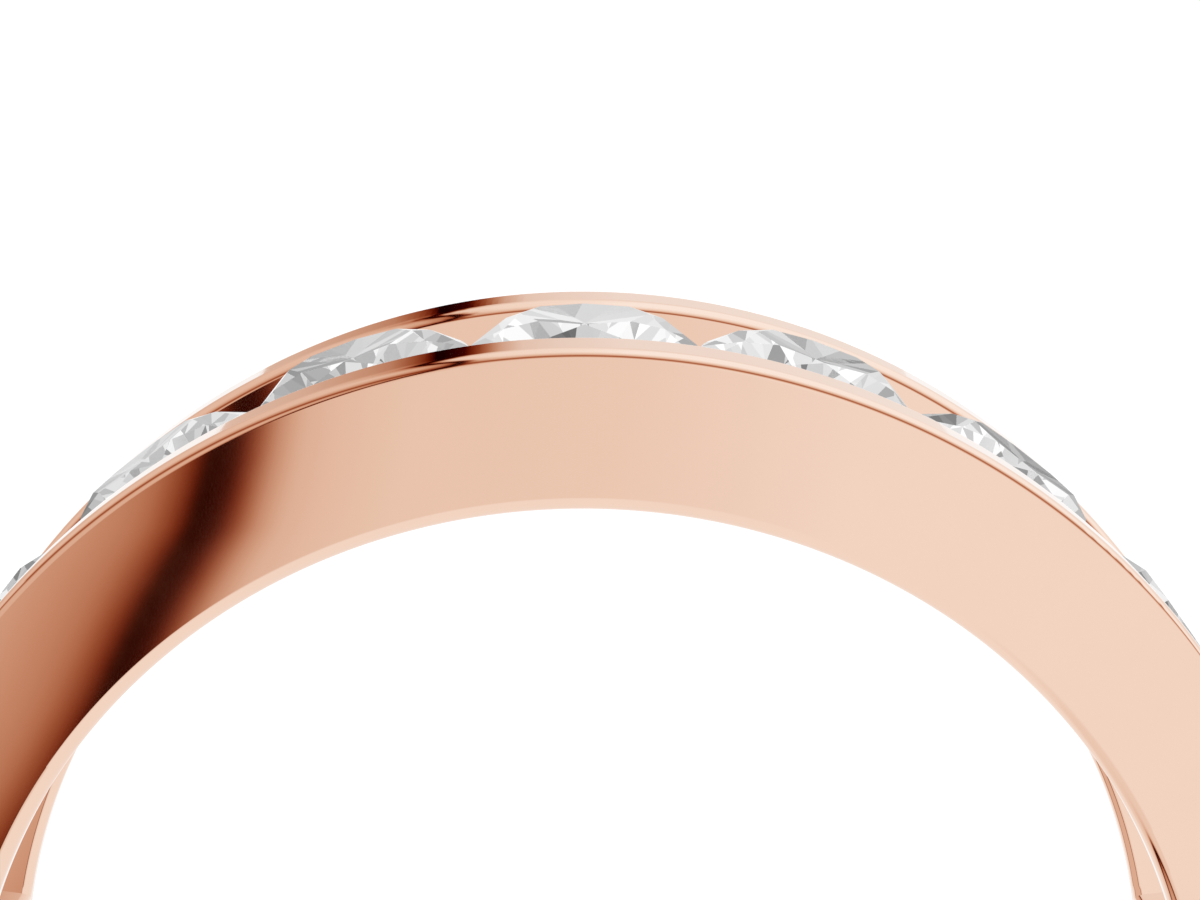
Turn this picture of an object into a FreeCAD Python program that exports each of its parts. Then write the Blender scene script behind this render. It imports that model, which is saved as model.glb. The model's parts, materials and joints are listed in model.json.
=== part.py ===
import FreeCAD, Part
import os

import Sketcher
from FreeCAD import Placement, Rotation, Vector

# A channel-set half-eternity wedding band, in millimetres.
# The bore runs along Y and its centre is the origin. The middle stone stands at +Z.
# The outer circle's centre lies above the bore's, so the band is thickest under the middle stone.
# A level is a distance from the outer circle's centre, measured along the axis of a stone.

SIZES = {
    "bore_radius": 8.25,
    "crown_rise": 0.41,
    "back_width": 2.45,
    "rail_width": 0.93,
    "rail_edge_radius": 0.14,
    "bore_edge_radius": 0.19,
    "mouth_edge_radius": 0.13,
    "rim_grip": 0.06,
    "stone_diameter": 3.0,
    "table_diameter": 1.71,
    "crown_height": 0.42,
    "girdle_height": 0.06,
    "pavilion_depth": 1.25,
    "star_reach": 0.5,
    "lower_half_reach": 0.77,
    "stone_gap": 0.05,
    "seat_clearance": 0.03,
    "culet_clearance": 0.01,
    "table_proud": 0.05,
    "cut_reach": 1.0,
}

DERIVED = {
    "stone_radius": "Sizes.stone_diameter / 2",
    "table_radius": "Sizes.table_diameter / 2",
    "outer_radius": "Sizes.bore_radius + Sizes.culet_clearance + Sizes.pavilion_depth"
                    " + Sizes.girdle_height + Sizes.crown_height - Sizes.table_proud",
    "table_level": "outer_radius + Sizes.table_proud",
    "girdle_top": "table_level - Sizes.crown_height",
    "girdle_foot": "girdle_top - Sizes.girdle_height",
    "culet_level": "girdle_foot - Sizes.pavilion_depth",
    "crown_slope": "Sizes.crown_height / (stone_radius - table_radius)",
    "pavilion_slope": "Sizes.pavilion_depth / stone_radius",
    "channel_foot": "Sizes.bore_radius - Sizes.crown_rise - Sizes.cut_reach",
    "channel_half": "stone_radius - Sizes.rim_grip",
    "top_half": "channel_half + Sizes.rail_width",
    "back_half": "Sizes.back_width / 2",
    "band_top": "Sizes.crown_rise + outer_radius",
    "band_foot": "Sizes.crown_rise - outer_radius",
    "side_slope": "(top_half - back_half) / (band_top - band_foot)",
    "half_pitch": "atan(stone_radius / girdle_foot)"
                  " + asin(Sizes.stone_gap / 2 / hypot(stone_radius; girdle_foot))",
    "end_turn": "asin(Sizes.seat_clearance / girdle_foot)",
}

STONES_EACH_SIDE = 4
STONE_COUNT = 2 * STONES_EACH_SIDE + 1

# A brilliant has eight of its large facets and sixteen of the halves along its girdle.
MAIN_COUNT = 8
HALF_COUNT = 2 * MAIN_COUNT
STAR_TURN = 180 / MAIN_COUNT
HALF_TURN = 180 / HALF_COUNT

FULL_TURN = 360
TOLERANCE = 1e-4
EDGE_SAMPLES = 9

doc = FreeCAD.newDocument("WeddingBand")


def add_sizes():
    """Put the driving sizes in the sheet, and the sizes that follow from them in a set of variables."""
    sheet = doc.addObject("Spreadsheet::Sheet", "Sizes")
    for row, (alias, size) in enumerate(SIZES.items(), start=1):
        sheet.set(f"A{row}", str(size))
        sheet.setAlias(f"A{row}", alias)
    doc.recompute()
    derived = doc.addObject("App::VarSet", "Derived")
    for name, formula in DERIVED.items():
        derived.addProperty("App::PropertyFloat", name)
        derived.setExpression(name, formula)
    doc.recompute()
    return derived


def add_body(label):
    body = doc.addObject("PartDesign::Body", label)
    body.Label = label
    return body


def add_sketch(body, name, plane, turn=0):
    """Add a sketch on one of the body's planes, turned about its own upright axis."""
    sketch = body.newObject("Sketcher::SketchObject", name)
    origin_plane = next(part for part in body.Origin.OriginFeatures if part.Role == plane)
    sketch.AttachmentSupport = [(origin_plane, "")]
    sketch.MapMode = "FlatFace"
    sketch.AttachmentOffset = Placement(Vector(), Rotation(Vector(0, 1, 0), turn))
    return sketch


def raise_to_outer_centre(sketch):
    """Move the sketch's origin from the bore's centre to the outer circle's."""
    sketch.setExpression("AttachmentOffset.Base.y", "Sizes.crown_rise")


def bind(sketch, constraint, formula):
    index = sketch.addConstraint(constraint)
    sketch.setExpression(f"Constraints[{index}]", formula)


def add_circle(sketch, radius, height):
    """Draw a circle centred on the sketch's upright axis, with its centre at a height."""
    centre = Vector(0, sketch.evalExpression(height), 0)
    circle = sketch.addGeometry(Part.Circle(centre, Vector(0, 0, 1), sketch.evalExpression(radius)))
    bind(sketch, Sketcher.Constraint("Radius", circle, sketch.evalExpression(radius)), radius)
    bind(sketch, Sketcher.Constraint("DistanceX", circle, 3, 0), "0")
    bind(sketch, Sketcher.Constraint("DistanceY", circle, 3, centre.y), height)


def add_outline(sketch, corners):
    """Draw a closed outline with straight sides, each corner an (across, up) pair of formulas."""
    points = [Vector(sketch.evalExpression(across), sketch.evalExpression(up), 0) for across, up in corners]
    sides = [
        sketch.addGeometry(Part.LineSegment(start, end))
        for start, end in zip(points, points[1:] + points[:1])
    ]
    for side, following in zip(sides, sides[1:] + sides[:1]):
        sketch.addConstraint(Sketcher.Constraint("Coincident", side, 2, following, 1))
    for side, point, (across, up) in zip(sides, points, corners):
        bind(sketch, Sketcher.Constraint("DistanceX", side, 1, point.x), across)
        bind(sketch, Sketcher.Constraint("DistanceY", side, 1, point.y), up)


def add_feature(body, kind, name, **settings):
    feature = body.newObject(f"PartDesign::{kind}", name)
    for setting, value in settings.items():
        setattr(feature, setting, value)
    return feature


def on_circle(radius, centre_height):
    """Return a test of whether a point lies on a circle about the Y direction."""
    def test(point):
        offset = Vector(point.x, 0, point.z - centre_height).Length - radius
        return abs(offset) < TOLERANCE
    return test


def add_fillet(body, name, base, size, *tests):
    """Round the edges of the body whose sample points pass every test."""
    doc.recompute()
    names = [
        f"Edge{index}"
        for index, edge in enumerate(base.Shape.Edges, start=1)
        if all(test(point) for test in tests for point in edge.discretize(EDGE_SAMPLES))
    ]
    fillet = add_feature(body, "Fillet", name, Base=(base, names))
    fillet.setExpression("Radius", f"Sizes.{size}")
    return fillet


def add_blank(body):
    """Make the plain band: two offset circles, padded, with both side faces leaning in to the back."""
    rings = add_sketch(body, "BlankSketch", "XZ_Plane")
    add_circle(rings, "Derived.outer_radius", "Sizes.crown_rise")
    add_circle(rings, "Sizes.bore_radius", "0")
    blank = add_feature(body, "Pad", "Blank", Profile=rings, Midplane=True)
    blank.setExpression("Length", "2 * Derived.top_half")

    tapers = add_sketch(body, "TaperSketch", "YZ_Plane")
    for side in ("", "-"):
        add_outline(tapers, [
            (f"{side}(Derived.top_half + Derived.side_slope * Sizes.cut_reach)",
             "Derived.band_top + Sizes.cut_reach"),
            (f"{side}(Derived.back_half - Derived.side_slope * Sizes.cut_reach)",
             "Derived.band_foot - Sizes.cut_reach"),
            (f"{side}(Derived.top_half + Sizes.cut_reach)", "Derived.band_foot - Sizes.cut_reach"),
            (f"{side}(Derived.top_half + Sizes.cut_reach)", "Derived.band_top + Sizes.cut_reach"),
        ])
    taper = add_feature(body, "Pocket", "Taper", Profile=tapers, Midplane=True)
    taper.setExpression("Length", "2 * (Derived.outer_radius + Sizes.cut_reach)")
    return taper


def add_channel(body):
    """Cut the channel round the top of the band, right through to the bore."""
    sketch = add_sketch(body, "ChannelSketch", "YZ_Plane")
    raise_to_outer_centre(sketch)
    add_outline(sketch, [
        ("Derived.channel_half", "Derived.channel_foot"),
        ("Derived.channel_half", "Derived.outer_radius + Sizes.cut_reach"),
        ("-Derived.channel_half", "Derived.outer_radius + Sizes.cut_reach"),
        ("-Derived.channel_half", "Derived.channel_foot"),
    ])
    channel = add_feature(body, "Groove", "Channel", Profile=sketch, ReferenceAxis=(sketch, ["H_Axis"]),
                          Midplane=True)
    channel.setExpression("Angle", f"{STONE_COUNT} * 2 * Derived.half_pitch + 2 * Derived.end_turn")
    return channel


def add_seats(body):
    """Cut a notch for the rim of every stone in both walls of the channel."""
    sketch = add_sketch(body, "SeatSketch", "YZ_Plane")
    raise_to_outer_centre(sketch)
    rim = "(Derived.stone_radius + Sizes.seat_clearance)"
    rim_top = "(Derived.girdle_top + Sizes.seat_clearance)"
    rim_foot = "(Derived.girdle_foot - Sizes.seat_clearance)"
    mouth = "(Derived.channel_half - Sizes.rim_grip)"
    mouth_level = f"{rim_top} + ({rim} - {mouth}) * Derived.crown_slope"
    mouth_foot = f"{rim_foot} - ({rim} - {mouth}) * Derived.pavilion_slope"
    add_outline(sketch, [
        ("0", mouth_level),
        (mouth, mouth_level),
        (rim, rim_top),
        (rim, rim_foot),
        (mouth, mouth_foot),
        ("0", mouth_foot),
    ])
    seat = add_feature(body, "Groove", "Seat", Profile=sketch, ReferenceAxis=(sketch, ["V_Axis"]),
                       Angle=FULL_TURN)
    doc.recompute()
    for name, backwards in (("SeatsAhead", False), ("SeatsBehind", True)):
        seats = add_feature(body, "PolarPattern", name, Originals=[seat], Axis=(sketch, ["H_Axis"]),
                            Mode="Spacing", Occurrences=STONES_EACH_SIDE + 1, Reversed=backwards)
        seats.setExpression("Offset", "2 * Derived.half_pitch")
        body.Tip = seats


def make_band(derived):
    """Make the cast band, and return its body."""
    body = add_body("band")
    on_outside = on_circle(derived.outer_radius, SIZES["crown_rise"])
    on_bore = on_circle(SIZES["bore_radius"], 0)

    def in_channel(point):
        return abs(point.y) < derived.channel_half + TOLERANCE

    def on_side(point):
        lean = derived.side_slope * (derived.band_top - point.z)
        return abs(abs(point.y) + lean - derived.top_half) < TOLERANCE

    taper = add_blank(body)
    rounded = add_fillet(body, "OuterEdges", taper, "rail_edge_radius", on_outside, on_side)
    add_fillet(body, "BoreEdges", rounded, "bore_edge_radius", on_bore, on_side)
    channel = add_channel(body)
    opened = add_fillet(body, "ChannelEdges", channel, "rail_edge_radius", on_outside, in_channel)
    add_fillet(body, "MouthEdges", opened, "mouth_edge_radius", on_bore, in_channel)
    add_seats(body)
    return body


def add_facets(body, name, turn, count, inner, outer):
    """Grind equal flat facets round a stone.

    Each facet's plane holds an inner and an outer point, given as (radius, level) formulas on a
    half-plane turned from the first bezel. Facets of the crown fall outwards, and those of the
    pavilion rise outwards.
    """
    sketch = add_sketch(body, f"{name}Sketch", "XZ_Plane", turn)
    raise_to_outer_centre(sketch)
    slope = f"(({outer[1]}) - ({inner[1]})) / (({outer[0]}) - ({inner[0]}))"
    end = "(Derived.stone_radius + Sizes.cut_reach)"
    inner_end = f"({inner[1]}) - Sizes.cut_reach * ({slope})"
    outer_end = f"({inner[1]}) + ({end} - ({inner[0]})) * ({slope})"
    add_outline(sketch, [
        (f"({inner[0]}) - Sizes.cut_reach", inner_end),
        (end, outer_end),
        (end, inner_end),
    ])
    cut = add_feature(body, "Pocket", name, Profile=sketch, Midplane=True)
    cut.setExpression("Length", "2 * (Derived.stone_radius + Sizes.cut_reach)")
    doc.recompute()
    ring = add_feature(body, "PolarPattern", f"{name}Ring", Originals=[cut], Axis=(sketch, ["V_Axis"]),
                       Angle=FULL_TURN, Occurrences=count)
    body.Tip = ring


def make_stone(number, derived):
    """Make one round brilliant, ground from a round blank and set at its place in the channel."""
    body = add_body(f"stone_{number}")
    blank_sketch = add_sketch(body, "RoughSketch", "XZ_Plane")
    raise_to_outer_centre(blank_sketch)
    add_outline(blank_sketch, [
        ("0", "Derived.culet_level"),
        ("Derived.stone_radius", "Derived.culet_level"),
        ("Derived.stone_radius", "Derived.table_level"),
        ("0", "Derived.table_level"),
    ])
    add_feature(body, "Revolution", "Rough", Profile=blank_sketch, ReferenceAxis=(blank_sketch, ["V_Axis"]),
                Angle=FULL_TURN)

    across_star, across_half = f"cos({STAR_TURN})", f"cos({HALF_TURN})"
    table_flat = f"Derived.table_radius * {across_star}"
    star_radius = f"({table_flat} + Sizes.star_reach * (Derived.stone_radius - {table_flat}))"
    star_level = (f"(Derived.table_level - ({star_radius} * {across_star} - Derived.table_radius)"
                  " * Derived.crown_slope)")
    keel_radius = "(Derived.stone_radius * (1 - Sizes.lower_half_reach))"
    keel_level = f"(Derived.culet_level + {keel_radius} * {across_star} * Derived.pavilion_slope)"
    girdle_flat = f"Derived.stone_radius * {across_half}"

    add_facets(body, "Bezels", 0, MAIN_COUNT,
               ("Derived.table_radius", "Derived.table_level"),
               ("Derived.stone_radius", "Derived.girdle_top"))
    add_facets(body, "Stars", STAR_TURN, MAIN_COUNT,
               (table_flat, "Derived.table_level"),
               (star_radius, star_level))
    add_facets(body, "UpperHalves", HALF_TURN, HALF_COUNT,
               (f"{star_radius} * {across_half}", star_level),
               (girdle_flat, "Derived.girdle_top"))
    add_facets(body, "PavilionMains", 0, MAIN_COUNT,
               ("0", "Derived.culet_level"),
               ("Derived.stone_radius", "Derived.girdle_foot"))
    add_facets(body, "LowerHalves", HALF_TURN, HALF_COUNT,
               (f"{keel_radius} * {across_half}", keel_level),
               (girdle_flat, "Derived.girdle_foot"))

    steps_from_middle = number - 1 - STONES_EACH_SIDE
    outer_centre = Vector(0, 0, SIZES["crown_rise"])
    turn = Rotation(Vector(0, 1, 0), steps_from_middle * 2 * derived.half_pitch)
    body.Placement = Placement(Vector(), turn, outer_centre)
    return body


def check(bodies):
    """Stop if an object failed or a body holds no sound single solid."""
    failed = [item.Label for item in doc.Objects if {"Invalid", "Error"} & set(item.State)]
    unsound = [
        body.Label
        for body in bodies
        if body.Shape.isNull() or not body.Shape.isValid() or len(body.Shape.Solids) != 1
    ]
    if failed or unsound:
        raise RuntimeError(f"failed objects: {failed}, unsound bodies: {unsound}")


def main():
    derived = add_sizes()
    bodies = [make_band(derived)]
    bodies += [make_stone(number, derived) for number in range(1, STONE_COUNT + 1)]
    doc.recompute()
    check(bodies)
    os.makedirs("parts", exist_ok=True)
    for body in bodies:
        body.Shape.exportStep(f"parts/{body.Label}.step")
        print(f"{body.Label}: {body.Shape.Volume:.4f} cubic mm")


main()
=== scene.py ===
"""The looks of a channel-set wedding band: its metal, its stones, the studio and the camera.

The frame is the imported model's: the finger bore runs along Y, its centre is the origin, and the
middle stone stands at +Z. The band is worked out in millimetres and leaves in metres.
"""

import json
import logging
import math
from abc import ABC, abstractmethod
from collections.abc import Iterable
from dataclasses import dataclass
from enum import Enum

import bmesh
import bpy
from mathutils import Matrix, Vector


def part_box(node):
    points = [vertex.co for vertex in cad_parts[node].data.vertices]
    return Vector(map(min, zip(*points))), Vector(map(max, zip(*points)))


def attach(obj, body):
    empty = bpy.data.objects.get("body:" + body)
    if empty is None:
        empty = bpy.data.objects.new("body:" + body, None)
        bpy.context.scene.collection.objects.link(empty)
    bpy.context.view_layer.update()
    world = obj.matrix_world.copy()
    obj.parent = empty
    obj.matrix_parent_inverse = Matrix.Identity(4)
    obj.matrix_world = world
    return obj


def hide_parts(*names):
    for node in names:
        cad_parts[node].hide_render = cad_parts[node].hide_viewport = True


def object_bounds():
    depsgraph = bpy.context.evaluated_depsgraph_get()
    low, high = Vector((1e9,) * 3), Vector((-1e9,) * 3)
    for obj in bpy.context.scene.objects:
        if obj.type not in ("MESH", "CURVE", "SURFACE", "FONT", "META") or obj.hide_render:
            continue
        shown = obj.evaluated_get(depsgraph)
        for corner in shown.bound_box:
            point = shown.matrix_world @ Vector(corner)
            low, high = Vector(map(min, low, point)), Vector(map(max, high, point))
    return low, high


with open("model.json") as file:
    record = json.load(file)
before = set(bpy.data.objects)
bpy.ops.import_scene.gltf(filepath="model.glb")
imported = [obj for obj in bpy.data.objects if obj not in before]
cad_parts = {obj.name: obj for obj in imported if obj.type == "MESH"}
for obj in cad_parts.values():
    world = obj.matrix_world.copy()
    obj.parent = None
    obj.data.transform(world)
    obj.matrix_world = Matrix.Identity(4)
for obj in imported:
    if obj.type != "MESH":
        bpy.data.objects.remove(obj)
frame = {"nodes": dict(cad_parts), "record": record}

CAD_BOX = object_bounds()
BAND_NODE = "band"
STONE_PREFIX = "stone_"
MIDDLE_STONE = "stone_5"
MM = 0.001
GIRDLE_SHARE = 0.999
TABLE_SLACK = 0.001
WHITE = (1.0, 1.0, 1.0, 1.0)
TONE_GROUP = "uneven_tone"
TONE_INPUTS = {"Scale": 900.0, "Detail": 3.0, "Low": 0.0, "High": 1.0}
TONE_RANGE = (0.25, 0.75)

log = logging.getLogger("wedding_band")

Colour = tuple[float, float, float]


class Slot(Enum):
    """The material slots that the record names."""

    METAL = "rose_gold"
    STONE = "diamond"


class Graph:
    """A small helper that adds and links nodes in one node tree."""

    def __init__(self, tree: bpy.types.NodeTree) -> None:
        """Start with an empty tree.

        Args:
            tree: the node tree to fill.
        """
        self.tree = tree
        self.tree.nodes.clear()

    def add(self, kind: str, settings: dict[str, object] | None = None,
            **inputs: object) -> bpy.types.Node:
        """Add a node and fill its inputs.

        Args:
            kind: the node's type, without the word ShaderNode in front.
            settings: the node's own properties.
            inputs: a value or an output socket for each input, named with _ for a space, or with
                the input's number after an n.

        Returns:
            The new node.
        """
        prefix = "" if kind.startswith("NodeGroup") else "ShaderNode"
        node = self.tree.nodes.new(prefix + kind)
        for name, value in (settings or {}).items():
            setattr(node, name, value)
        for name, value in inputs.items():
            numbered = name[0] == "n" and name[1:].isdigit()
            key = int(name[1:]) if numbered else name.replace("_", " ")
            if isinstance(value, bpy.types.NodeSocket):
                self.tree.links.new(value, node.inputs[key])
            else:
                node.inputs[key].default_value = value
        return node

    def math(self, operation: str, *values: object) -> bpy.types.NodeSocket:
        """Add a Math node.

        Args:
            operation: the name of the operation.
            values: one to three numbers or output sockets.

        Returns:
            The node's output.
        """
        inputs = {f"n{index}": value for index, value in enumerate(values)}
        return self.add("Math", {"operation": operation}, **inputs).outputs[0]

    def ramp(self, factor: object, stops: Iterable[tuple[float, float]]) -> bpy.types.NodeSocket:
        """Add a grey colour ramp.

        Args:
            factor: the ramp's input.
            stops: the place and the brightness of each stop, in order.

        Returns:
            The ramp's colour output.
        """
        node = self.add("ValToRGB", Fac=factor)
        elements = node.color_ramp.elements
        node.color_ramp.interpolation = "LINEAR"
        places = list(stops)
        while len(elements) < len(places):
            elements.new(1.0)
        for element, (place, level) in zip(elements, places):
            element.position = place
            element.color = (level, level, level, 1.0)
        return node.outputs["Color"]


@dataclass(frozen=True)
class BandSizes:
    """The band's sizes in millimetres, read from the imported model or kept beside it.

    Levels are distances from the outer circle's centre, along a stone's axis.
    """

    bore_radius: float
    outer_radius: float
    centre_rise: float
    top_half: float
    side_slope: float
    stone_radius: float
    girdle_top: float
    girdle_foot: float
    crown_slope: float
    pavilion_slope: float
    pitch: float
    outer_edge: float = 0.14
    bore_edge: float = 0.19
    mouth_edge: float = 0.13
    rim_grip: float = 0.06
    seat_clearance: float = 0.03
    stones: int = 9

    @property
    def channel_half(self) -> float:
        """Half of the channel's width."""
        return self.stone_radius - self.rim_grip

    @property
    def top(self) -> float:
        """The height of the band's top."""
        return self.outer_radius + self.centre_rise

    @property
    def turns(self) -> list[float]:
        """The angle of each stone from the middle one, in radians."""
        return [(number - (self.stones - 1) / 2) * self.pitch for number in range(self.stones)]

    @classmethod
    def from_frame(cls) -> "BandSizes":
        """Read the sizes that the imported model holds.

        Returns:
            The sizes, in millimetres and radians.
        """
        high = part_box(BAND_NODE)[1] / MM
        mounts = {mount["name"]: mount for mount in frame["record"]["mounts"]}
        side = mounts["side_face_back"]
        slope = -side["axis"][2] / side["axis"][1]
        centre_rise = high[2] - high[0]
        stone = [corner.co / MM for corner in frame["nodes"][MIDDLE_STONE].data.vertices]
        radius = max(corner.x for corner in stone)
        girdle = [corner.z - centre_rise for corner in stone
                  if math.hypot(corner.x, corner.y) > radius * GIRDLE_SHARE]
        table = max(corner.z for corner in stone) - centre_rise
        culet = min(corner.z for corner in stone) - centre_rise
        table_radius = max(corner.x for corner in stone
                           if corner.z - centre_rise > table - TABLE_SLACK)
        names = [name for name in frame["nodes"] if name.startswith(STONE_PREFIX)]
        turns = [stone_turn(frame["nodes"][name], centre_rise * MM) for name in names]
        return cls(
            bore_radius=mounts["finger_bore"]["dims"]["r_mm"],
            outer_radius=high[0],
            centre_rise=centre_rise,
            top_half=side["pos_m"][1] / MM + slope * (high[2] - side["pos_m"][2] / MM),
            side_slope=slope,
            stone_radius=radius,
            girdle_top=max(girdle),
            girdle_foot=min(girdle),
            crown_slope=(table - max(girdle)) / (radius - table_radius),
            pavilion_slope=(min(girdle) - culet) / radius,
            pitch=(max(turns) - min(turns)) / (len(names) - 1),
            stones=len(names),
        )


def stone_turn(node: bpy.types.Object, centre_rise: float) -> float:
    """Work out how far round the band a stone sits.

    Args:
        node: the stone's object.
        centre_rise: the height of the outer circle's centre, in metres.

    Returns:
        The angle from the band's top, in radians, positive towards +X.
    """
    corners = [vertex.co for vertex in node.data.vertices]
    middle = sum(corners, Vector()) / len(corners)
    return math.atan2(middle.x, middle.z - centre_rise)


def scene_object(name: str, shape: bmesh.types.BMesh) -> bpy.types.Object:
    """Turn a bmesh into an object in the scene.

    Args:
        name: the name of the object and of its mesh.
        shape: the bmesh, which is freed.

    Returns:
        The new object.
    """
    mesh = bpy.data.meshes.new(name)
    shape.to_mesh(mesh)
    shape.free()
    piece = bpy.data.objects.new(name, mesh)
    bpy.context.scene.collection.objects.link(piece)
    return piece


def put_on(piece: bpy.types.Object, material: bpy.types.Material) -> None:
    """Make a material the only one of a piece."""
    piece.data.materials.clear()
    piece.data.materials.append(material)


@dataclass(frozen=True)
class Band:
    """The cast band, with its rounded edges, its channel and its seats. Lengths are millimetres.

    The cutters run on past the surface by the reach. The channel cutter is flat until it is rolled
    onto the band: its levels are kept from the skin above zero and from the bore below it, each
    moved away from zero by the split.
    """

    sizes: BandSizes
    columns: int = 720
    arc_steps: int = 12
    seat_sides: int = 96
    reach: float = 1.0
    split: float = 0.5
    weld: float = 1e-4
    sharp_angle: float = math.radians(30)
    face_weight: int = 100

    def build(self) -> bpy.types.Object:
        """Make the band's mesh.

        Returns:
            The finished object, with no modifier left on it.
        """
        band = scene_object("ring_band", self._blank())
        self._cut(band, scene_object("channel_cutter", self._channel_cutter()))
        for turn in self.sizes.turns:
            self._cut(band, scene_object("seat_cutter", self._seat_cutter(turn)))
        self._finish(band)
        return band

    @staticmethod
    def dress(band: bpy.types.Object, metal: bpy.types.Material) -> None:
        """Give the band its metal, which mirrors the studio and not the band itself.

        Args:
            band: the finished band.
            metal: its material.
        """
        put_on(band, metal)
        band.visible_glossy = False
        band.visible_transmission = False

    @staticmethod
    def _path(shape: bmesh.types.BMesh, points: Iterable[Vector],
              closed: bool) -> list[bmesh.types.BMEdge]:
        """Add a line of edges through points.

        Args:
            shape: the bmesh to add to.
            points: the points, in order.
            closed: whether the last point joins the first.

        Returns:
            The new edges.
        """
        corners = [shape.verts.new(point) for point in points]
        pairs = list(zip(corners, corners[1:]))
        if closed:
            pairs.append((corners[-1], corners[0]))
        return [shape.edges.new(pair) for pair in pairs]

    def _arc(self, middle: Vector, radius: float, start: float, end: float) -> list[Vector]:
        """Work out points along an arc in the YZ plane.

        Args:
            middle: the arc's centre.
            radius: its radius.
            start: the angle of its first point, from +Y towards +Z.
            end: the angle of its last point.

        Returns:
            The points, in order.
        """
        steps = self.arc_steps
        angles = (start + (end - start) * step / steps for step in range(steps + 1))
        return [middle + radius * Vector((0, math.cos(turn), math.sin(turn))) for turn in angles]

    def _blank(self) -> bmesh.types.BMesh:
        """Make the plain band: a tube with rounded edges, whose flat sides lean in to the back.

        Returns:
            The closed blank.
        """
        sizes = self.sizes
        half, outer, bore = sizes.top_half, sizes.outer_edge, sizes.bore_edge
        bore_middle = Vector((0, half - bore, sizes.bore_radius + bore))
        outer_middle = Vector((0, half - outer, sizes.outer_radius - outer))
        near = [*self._arc(bore_middle, bore, -math.pi / 2, 0),
                *self._arc(outer_middle, outer, 0, math.pi / 2)]
        far = [Vector((0, -point.y, point.z)) for point in reversed(near)]
        blank = bmesh.new()
        edges = self._path(blank, near + far, closed=True)
        bmesh.ops.spin(blank, geom=blank.verts[:] + edges, cent=Vector(), axis=Vector((0, 1, 0)),
                       angle=2 * math.pi, steps=self.columns, use_merge=True)
        bmesh.ops.remove_doubles(blank, verts=blank.verts, dist=self.weld)
        middle = (sizes.bore_radius + sizes.outer_radius) / 2
        skin = [corner for corner in blank.verts
                if math.hypot(corner.co.x, corner.co.z) > middle]
        bmesh.ops.translate(blank, verts=skin, vec=Vector((0, 0, sizes.centre_rise)))
        for corner in blank.verts:
            lean = sizes.side_slope * (sizes.top - corner.co.z)
            corner.co.y -= math.copysign(lean, corner.co.y)
        bmesh.ops.recalc_face_normals(blank, faces=blank.faces)
        return blank

    def _wrap(self, shape: bmesh.types.BMesh) -> None:
        """Roll a flat shape, which lies along X and across Y, onto the band.

        Args:
            shape: the shape to roll.
        """
        sizes = self.sizes
        rise = sizes.centre_rise
        for corner in shape.verts:
            turn = corner.co.x / sizes.outer_radius
            level = corner.co.z
            if level > 0:
                radius = sizes.outer_radius + level - self.split
            else:
                across = math.sqrt(sizes.bore_radius ** 2 - (rise * math.sin(turn)) ** 2)
                bore = across - rise * math.cos(turn)
                radius = bore + level + self.split
            corner.co.x = radius * math.sin(turn)
            corner.co.z = radius * math.cos(turn) + rise

    def _flare(self, edge: float) -> list[tuple[float, float]]:
        """Work out a mouth that opens in a quarter round and runs on past the surface.

        Args:
            edge: the radius of the rounded mouth.

        Returns:
            How far each ring spreads and how far it stands out of the surface, from the wall out.
        """
        angles = [step * math.pi / 2 / self.arc_steps for step in range(self.arc_steps + 1)]
        rings = [(edge * (1 - math.cos(turn)), edge * (math.sin(turn) - 1)) for turn in angles]
        last, before = rings[-1], rings[-2]
        overrun = self.reach / (last[0] - before[0])
        rings.append(tuple(end + (end - start) * overrun for start, end in zip(before, last)))
        return rings

    def _channel_cutter(self) -> bmesh.types.BMesh:
        """Make the solid that the channel is cut with: straight walls between two flared mouths.

        Returns:
            The cutter, rolled onto the band.
        """
        sizes = self.sizes
        end_gap = math.asin(sizes.seat_clearance / sizes.girdle_foot)
        end_turn = sizes.stones * sizes.pitch / 2 + end_gap
        half_length = end_turn * sizes.outer_radius
        columns = round(self.columns * end_turn / math.pi)
        inner, outer = self._flare(sizes.mouth_edge), self._flare(sizes.outer_edge)
        rings = [(spread, -self.split - level) for spread, level in reversed(inner)]
        rings += [(spread, self.split + level) for spread, level in outer]
        shape = bmesh.new()
        bmesh.ops.create_grid(shape, x_segments=columns, y_segments=1, size=1)
        extent = Vector((half_length, sizes.channel_half, 1))
        bmesh.ops.scale(shape, verts=shape.verts, vec=extent)
        cap = shape.faces[:]
        spread, level = rings[0]
        self._grow(cap, half_length, spread, level)
        for face in cap:
            face.copy()
        for next_spread, next_level in rings[1:]:
            grown = bmesh.ops.extrude_face_region(shape, geom=cap)["geom"]
            bmesh.ops.delete(shape, geom=cap, context="FACES")
            cap = [item for item in grown if isinstance(item, bmesh.types.BMFace)]
            self._grow(cap, half_length, next_spread - spread, next_level - level)
            spread, level = next_spread, next_level
        bmesh.ops.remove_doubles(shape, verts=shape.verts, dist=self.weld)
        bmesh.ops.recalc_face_normals(shape, faces=shape.faces)
        self._wrap(shape)
        return shape

    def _grow(self, cap: list[bmesh.types.BMFace], half_length: float, spread: float,
              rise: float) -> None:
        """Widen and lift the faces that close the channel cutter.

        Args:
            cap: the faces.
            half_length: half of the length of the channel's straight walls.
            spread: how far the sides and the ends move out.
            rise: how far the faces move up.
        """
        for corner in {corner for face in cap for corner in face.verts}:
            corner.co.z += rise
            corner.co.y += math.copysign(1, corner.co.y) * spread
            if abs(corner.co.x) > half_length - self.weld:
                corner.co.x += math.copysign(1, corner.co.x) * spread

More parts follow.
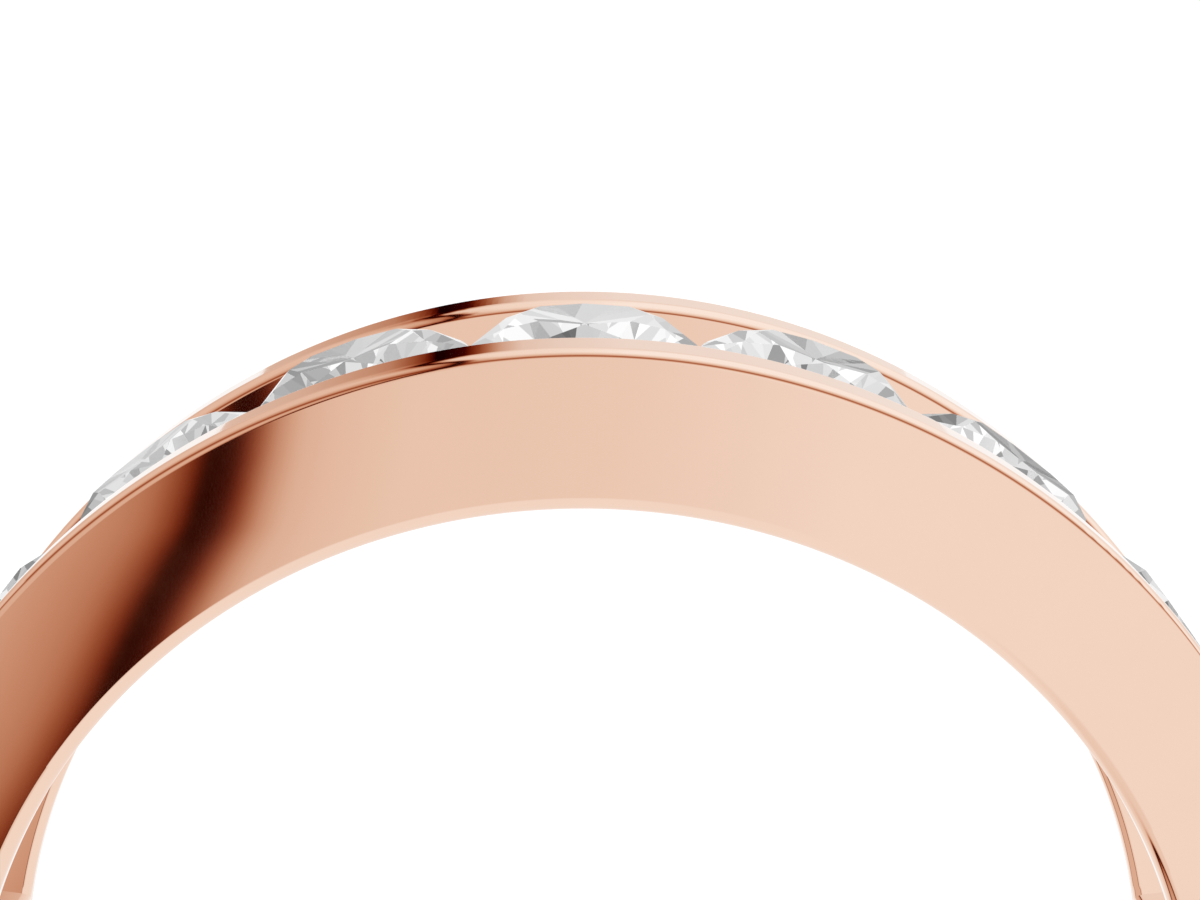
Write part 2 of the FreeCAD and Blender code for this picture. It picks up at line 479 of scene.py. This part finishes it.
    def _seat_cutter(self, turn: float) -> bmesh.types.BMesh:
        """Make the solid that cuts the notches for one stone's rim.

        Args:
            turn: the angle of the seat's stone.

        Returns:
            The cutter.
        """
        sizes = self.sizes
        rim = sizes.stone_radius + sizes.seat_clearance
        rim_top = sizes.girdle_top + sizes.seat_clearance
        rim_foot = sizes.girdle_foot - sizes.seat_clearance
        mouth = sizes.channel_half - sizes.rim_grip
        top = rim_top + (rim - mouth) * sizes.crown_slope
        foot = rim_foot - (rim - mouth) * sizes.pavilion_slope
        profile = [(0, top), (mouth, top), (rim, rim_top),
                   (rim, rim_foot), (mouth, foot), (0, foot)]
        corners = [Vector((radius, 0, level)) for radius, level in profile]
        shape = bmesh.new()
        edges = self._path(shape, corners, closed=False)
        bmesh.ops.spin(shape, geom=shape.verts[:] + edges, cent=Vector(), axis=Vector((0, 0, 1)),
                       angle=2 * math.pi, steps=self.seat_sides, use_merge=True)
        bmesh.ops.remove_doubles(shape, verts=shape.verts, dist=self.weld)
        bmesh.ops.recalc_face_normals(shape, faces=shape.faces)
        bmesh.ops.rotate(shape, verts=shape.verts, matrix=Matrix.Rotation(turn, 3, "Y"))
        bmesh.ops.translate(shape, verts=shape.verts, vec=Vector((0, 0, sizes.centre_rise)))
        return shape

    @staticmethod
    def _bake(piece: bpy.types.Object) -> None:
        """Make a piece's modifiers part of its mesh.

        Args:
            piece: the piece.
        """
        bpy.context.view_layer.update()
        graph = bpy.context.evaluated_depsgraph_get()
        done = bpy.data.meshes.new_from_object(piece.evaluated_get(graph))
        piece.modifiers.clear()
        piece.data = done

    def _cut(self, band: bpy.types.Object, cutter: bpy.types.Object) -> None:
        """Cut a solid out of the band and remove it.

        Args:
            band: the piece to cut.
            cutter: the solid to cut with.
        """
        cut = band.modifiers.new("cut", "BOOLEAN")
        cut.operation = "DIFFERENCE"
        cut.solver = "EXACT"
        cut.object = cutter
        self._bake(band)
        bpy.data.objects.remove(cutter)

    def _finish(self, band: bpy.types.Object) -> None:
        """Shade the band smooth between its sharp edges, with its flat faces kept flat.

        Args:
            band: the cut band, in millimetres. It leaves in metres.
        """
        shape = bmesh.new()
        shape.from_mesh(band.data)
        bmesh.ops.remove_doubles(shape, verts=shape.verts, dist=self.weld)
        bmesh.ops.dissolve_degenerate(shape, dist=self.weld, edges=shape.edges)
        shape.to_mesh(band.data)
        shape.free()
        band.data.shade_smooth()
        band.data.set_sharp_from_angle(angle=self.sharp_angle)
        weighted = band.modifiers.new("flat faces", "WEIGHTED_NORMAL")
        weighted.mode = "FACE_AREA"
        weighted.weight = self.face_weight
        weighted.thresh = 0.0
        weighted.keep_sharp = True
        self._bake(band)
        band.data.transform(Matrix.Scale(MM, 4))
        band.data.name = band.name


@dataclass(frozen=True)
class StoneRow:
    """The row of stones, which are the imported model's own pieces."""

    prefix: str = STONE_PREFIX

    def dress(self, clear: bpy.types.Material) -> None:
        """Give every stone its material and keep it out of the metal's mirror image.

        Args:
            clear: the material.
        """
        for name, node in frame["nodes"].items():
            if name.startswith(self.prefix):
                put_on(node, clear)
                node.visible_glossy = False
                log.info("%s: %d faces", name, len(node.data.polygons))


def uneven_tone() -> bpy.types.NodeTree:
    """Build the group that every finish shares: a soft, cloudy mask fixed to the object.

    Returns:
        The node group, with the inputs Scale, Detail, Low and High and the output Mask.
    """
    if TONE_GROUP in bpy.data.node_groups:
        return bpy.data.node_groups[TONE_GROUP]
    group = bpy.data.node_groups.new(TONE_GROUP, "ShaderNodeTree")
    graph = Graph(group)
    for label, value in TONE_INPUTS.items():
        socket = group.interface.new_socket(label, in_out="INPUT", socket_type="NodeSocketFloat")
        socket.default_value = value
    group.interface.new_socket("Mask", in_out="OUTPUT", socket_type="NodeSocketFloat")
    given = graph.add("NodeGroupInput").outputs
    place = graph.add("TexCoord").outputs["Object"]
    cloud = graph.add("TexNoise", Vector=place, Scale=given["Scale"],
                      Detail=given["Detail"]).outputs["Fac"]
    mask = graph.add("MapRange", Value=cloud, From_Min=TONE_RANGE[0], From_Max=TONE_RANGE[1],
                     To_Min=given["Low"], To_Max=given["High"]).outputs[0]
    graph.add("NodeGroupOutput", Mask=mask)
    return group


@dataclass(frozen=True)
class Finish(ABC):
    """What every finish has: a name, a colour and how unevenly it takes the light."""

    name: str
    colour: Colour
    cloud_scale: float
    darkest: float

    def material(self) -> bpy.types.Material:
        """Build the finish.

        Returns:
            The material.
        """
        material = bpy.data.materials.new(self.name)
        material.use_nodes = True
        graph = Graph(material.node_tree)
        tone = self._cloud(graph, self.darkest, 1.0)
        colour = graph.add("Mix", {"data_type": "RGBA", "blend_type": "MULTIPLY"}, n0=1.0,
                           n6=(*self.colour, 1.0), n7=tone).outputs[2]
        shader = graph.add("BsdfPrincipled", Base_Color=colour)
        self._finish(graph, shader)
        graph.add("OutputMaterial", Surface=shader.outputs["BSDF"])
        return material

    def _cloud(self, graph: Graph, low: float, high: float) -> bpy.types.NodeSocket:
        """Place the shared mask in a material, between two values."""
        return graph.add("Group", {"node_tree": uneven_tone()}, Scale=self.cloud_scale, Low=low,
                         High=high).outputs["Mask"]

    @abstractmethod
    def _finish(self, graph: Graph, shader: bpy.types.Node) -> None:
        """Set the rest of the shader.

        Args:
            graph: the material's nodes.
            shader: the Principled BSDF.
        """


@dataclass(frozen=True)
class RoseGold(Finish):
    """Mirror-polished rose gold under a thin clear coat, with a faint uneven haze."""

    name: str = "polished_rose_gold"
    colour: Colour = (0.89, 0.648, 0.517)
    cloud_scale: float = 900.0
    darkest: float = 0.985
    sharpest: float = 0.035
    haziest: float = 0.048
    coat: float = 0.7
    coat_roughness: float = 0.03

    def _finish(self, graph: Graph, shader: bpy.types.Node) -> None:
        """Make the shader a coated metal.

        Args:
            graph: the material's nodes.
            shader: the Principled BSDF.
        """
        shader.inputs["Metallic"].default_value = 1.0
        shader.inputs["Coat Weight"].default_value = self.coat
        shader.inputs["Coat Roughness"].default_value = self.coat_roughness
        haze = self._cloud(graph, self.sharpest, self.haziest)
        graph.tree.links.new(haze, shader.inputs["Roughness"])


@dataclass(frozen=True)
class Brilliant(Finish):
    """Colourless polished stone, with a trace of cloudiness."""

    name: str = "clear_brilliant"
    colour: Colour = (1.0, 1.0, 1.0)
    cloud_scale: float = 2200.0
    darkest: float = 0.97
    refraction: float = 2.42

    def _finish(self, graph: Graph, shader: bpy.types.Node) -> None:
        """Make the shader a clear stone.

        Args:
            graph: the material's nodes, not used here.
            shader: the Principled BSDF.
        """
        shader.inputs["Roughness"].default_value = 0.0
        shader.inputs["IOR"].default_value = self.refraction
        shader.inputs["Transmission Weight"].default_value = 1.0


@dataclass(frozen=True)
class PaleFloor(Finish):
    """A matt white floor that looks white and still takes a shadow."""

    name: str = "pale_floor"
    colour: Colour = (0.9, 0.9, 0.9)
    cloud_scale: float = 40.0
    darkest: float = 0.99
    glow: float = 0.2

    def _finish(self, graph: Graph, shader: bpy.types.Node) -> None:
        """Make the shader matt, with a little light of its own for the camera.

        Args:
            graph: the material's nodes.
            shader: the Principled BSDF.
        """
        shader.inputs["Roughness"].default_value = 1.0
        shader.inputs["Emission Color"].default_value = WHITE
        seen = graph.add("LightPath").outputs["Is Camera Ray"]
        glow = graph.math("MULTIPLY", seen, self.glow)
        graph.tree.links.new(glow, shader.inputs["Emission Strength"])


FINISHES: dict[Slot, Finish] = {Slot.METAL: RoseGold(), Slot.STONE: Brilliant()}


class Studio:
    """The light tent, the pale floor and the camera.

    The dark card's line gives the X of its middle at each angle round the X axis, in degrees from
    the front up, and the curve zero is what keeps such values positive. The card's edges give the
    brightness at each distance from that line, and it widens between two angles. The horizon gives
    the brightness at each angle, and the panels are the patches of light that the stones show. The
    camera's place and clip start are in millimetres, and its dip, turn and roll are in radians.
    """

    FLOOR_SIZE = 4.0
    CARD_LINE = ((-40, -0.31), (-30, -0.235), (-25, -0.192), (-22.9, -0.177), (-21.3, -0.16),
                 (-20, -0.153), (-18.5, -0.148), (-5, -0.14), (40, -0.20), (75, -0.26),
                 (110, -0.30), (140, -0.22), (160, -0.15), (171, -0.112), (180, -0.09))
    CURVE_ZERO = 0.5
    CARD_EDGES = ((-0.10, 0.80), (-0.06, 0.72), (-0.045, 0.65), (-0.034, 0.60), (-0.025, 0.53),
                  (-0.014, 0.30), (-0.006, 0.0), (0.006, 0.04), (0.012, 0.27), (0.021, 0.66),
                  (0.031, 0.83), (0.047, 0.875), (0.075, 0.92), (0.16, 0.937), (0.27, 1.0))
    CARD_SPAN = 0.4
    CARD_WIDENS = 2.0
    WIDENS_BETWEEN = (40.0, 165.0)
    HORIZON = ((-180, 1.0), (0, 1.0), (5, 0.90), (10, 0.72), (17, 0.42), (23, 0.48), (30, 0.77),
               (45, 0.98), (70, 1.08), (125, 1.08), (160, 0.98), (180, 0.98))
    GREEN_FALL = 2.2
    BLUE_FALL = 3.0
    PANEL_SCALE = 1.9
    PANEL_DETAIL = 1.0
    PANEL_EDGES = ((0.32, 0.14), (0.41, 0.34), (0.45, 0.66), (0.56, 0.84), (0.60, 1.05))
    CAMERA_PLACE = (0.0, -31.074, 15.491)
    CAMERA_DIP = 0.2199
    CAMERA_TURN = -0.0068
    CAMERA_ROLL = 0.0039
    LENS = 71.02
    SENSOR_WIDTH = 36.0
    CLIP_START = 0.5

    def build(self) -> None:
        """Set up the world, the floor and the camera."""
        self._world()
        log.info("light tent: set up")
        self._floor()
        log.info("floor: laid")
        self._camera()
        log.info("camera: placed")

    def _world(self) -> None:
        """Light the scene from all round, with a narrow dark card for the metal to show."""
        world = bpy.data.worlds.new("light_tent")
        bpy.context.scene.world = world
        world.use_nodes = True
        graph = Graph(world.node_tree)
        direction = graph.add("TexCoord").outputs["Generated"]
        parts = graph.add("SeparateXYZ", Vector=direction).outputs
        turn = graph.math("ARCTAN2", parts["Z"], graph.math("MULTIPLY", parts["Y"], -1.0))
        degrees = graph.math("MULTIPLY", turn, math.degrees(1))
        along = graph.add("MapRange", Value=degrees, From_Min=-180.0, From_Max=180.0).outputs[0]
        curve = graph.add("FloatCurve", Value=along)
        zero = self.CURVE_ZERO
        line = [(self._share(angle), zero + place) for angle, place in self.CARD_LINE]
        self._fill_curve(curve, line)
        centre = graph.math("SUBTRACT", curve.outputs[0], zero)
        narrow, wide = self.WIDENS_BETWEEN
        width = graph.add("MapRange", Value=degrees, From_Min=narrow, From_Max=wide, To_Min=1.0,
                          To_Max=self.CARD_WIDENS).outputs[0]
        offset = graph.math("DIVIDE", graph.math("SUBTRACT", parts["X"], centre), width)
        span = self.CARD_SPAN
        across = graph.add("MapRange", Value=offset, From_Min=-span, From_Max=span).outputs[0]
        edges = [((place + span) / (2 * span), level) for place, level in self.CARD_EDGES]
        card = graph.ramp(across, edges)
        levels = [(self._share(angle), level) for angle, level in self.HORIZON]
        horizon = graph.ramp(along, levels)
        seen = graph.math("MULTIPLY", card, horizon)
        tint = graph.add("CombineColor", Red=seen, Green=graph.math("POWER", seen, self.GREEN_FALL),
                         Blue=graph.math("POWER", seen, self.BLUE_FALL)).outputs[0]
        path = graph.add("LightPath").outputs
        panels = graph.add("TexNoise", Vector=direction, Scale=self.PANEL_SCALE,
                           Detail=self.PANEL_DETAIL).outputs["Fac"]
        panels = graph.ramp(panels, self.PANEL_EDGES)
        in_stone = graph.math("MAXIMUM", path["Is Singular Ray"], path["Is Transmission Ray"])
        mirrored = graph.add("Mix", {"data_type": "RGBA"}, n0=in_stone, n6=tint, n7=panels)
        sharp_light = graph.add("Background", Color=mirrored.outputs[2], Strength=1.0).outputs[0]
        plain_light = graph.add("Background", Color=WHITE, Strength=1.0).outputs[0]
        by_mirror = graph.math("MAXIMUM", path["Is Glossy Ray"], path["Is Transmission Ray"])
        mixed = graph.add("MixShader", n0=by_mirror, n1=plain_light, n2=sharp_light)
        graph.add("OutputWorld", Surface=mixed.outputs[0])

    @staticmethod
    def _share(angle: float) -> float:
        """Turn an angle from -180 to 180 degrees into a share of the full turn."""
        return (angle + 180) / 360

    @staticmethod
    def _fill_curve(node: bpy.types.Node, points: list[tuple[float, float]]) -> None:
        """Give a Float Curve node its points.

        Args:
            node: the node.
            points: the place and the height of each point, in order.
        """
        curve = node.mapping.curves[0]
        while len(curve.points) < len(points):
            curve.points.new(0.5, 0.5)
        for point, (across, up) in zip(curve.points, points):
            point.location = (across, up)
            point.handle_type = "AUTO"
        node.mapping.update()

    def _floor(self) -> None:
        """Lay a pale floor under the band."""
        shape = bmesh.new()
        bmesh.ops.create_grid(shape, x_segments=1, y_segments=1, size=self.FLOOR_SIZE / 2)
        bmesh.ops.translate(shape, verts=shape.verts, vec=Vector((0, 0, CAD_BOX[0][2])))
        floor = scene_object("floor", shape)
        put_on(floor, PaleFloor().material())
        floor.visible_glossy = False
        floor.visible_transmission = False

    def _camera(self) -> None:
        """Place the camera in front of the band and a little above it."""
        camera = bpy.data.cameras.new("camera")
        camera.lens = self.LENS
        camera.sensor_width = self.SENSOR_WIDTH
        camera.clip_start = self.CLIP_START * MM
        viewer = bpy.data.objects.new("camera", camera)
        viewer.location = [length * MM for length in self.CAMERA_PLACE]
        level = Matrix.Rotation(math.pi / 2 - self.CAMERA_DIP, 3, "X")
        aim = Matrix.Rotation(self.CAMERA_TURN, 3, "Z") @ level
        viewer.rotation_euler = (aim @ Matrix.Rotation(self.CAMERA_ROLL, 3, "Z")).to_euler()
        bpy.context.scene.collection.objects.link(viewer)
        bpy.context.scene.camera = viewer


def main() -> None:
    """Build the band, dress the stones, and set up the studio."""
    logging.basicConfig(level=logging.INFO)
    materials = {slot: finish.material() for slot, finish in FINISHES.items()}
    maker = Band(BandSizes.from_frame())
    log.info("sizes: %s", maker.sizes)
    band = maker.build()
    maker.dress(band, materials[Slot.METAL])
    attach(band, "root")
    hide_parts(BAND_NODE)
    log.info("%s: %d faces", BAND_NODE, len(band.data.polygons))
    StoneRow().dress(materials[Slot.STONE])
    Studio().build()
    bpy.context.scene.view_settings.view_transform = "Standard"


if __name__ == "__main__":
    main()
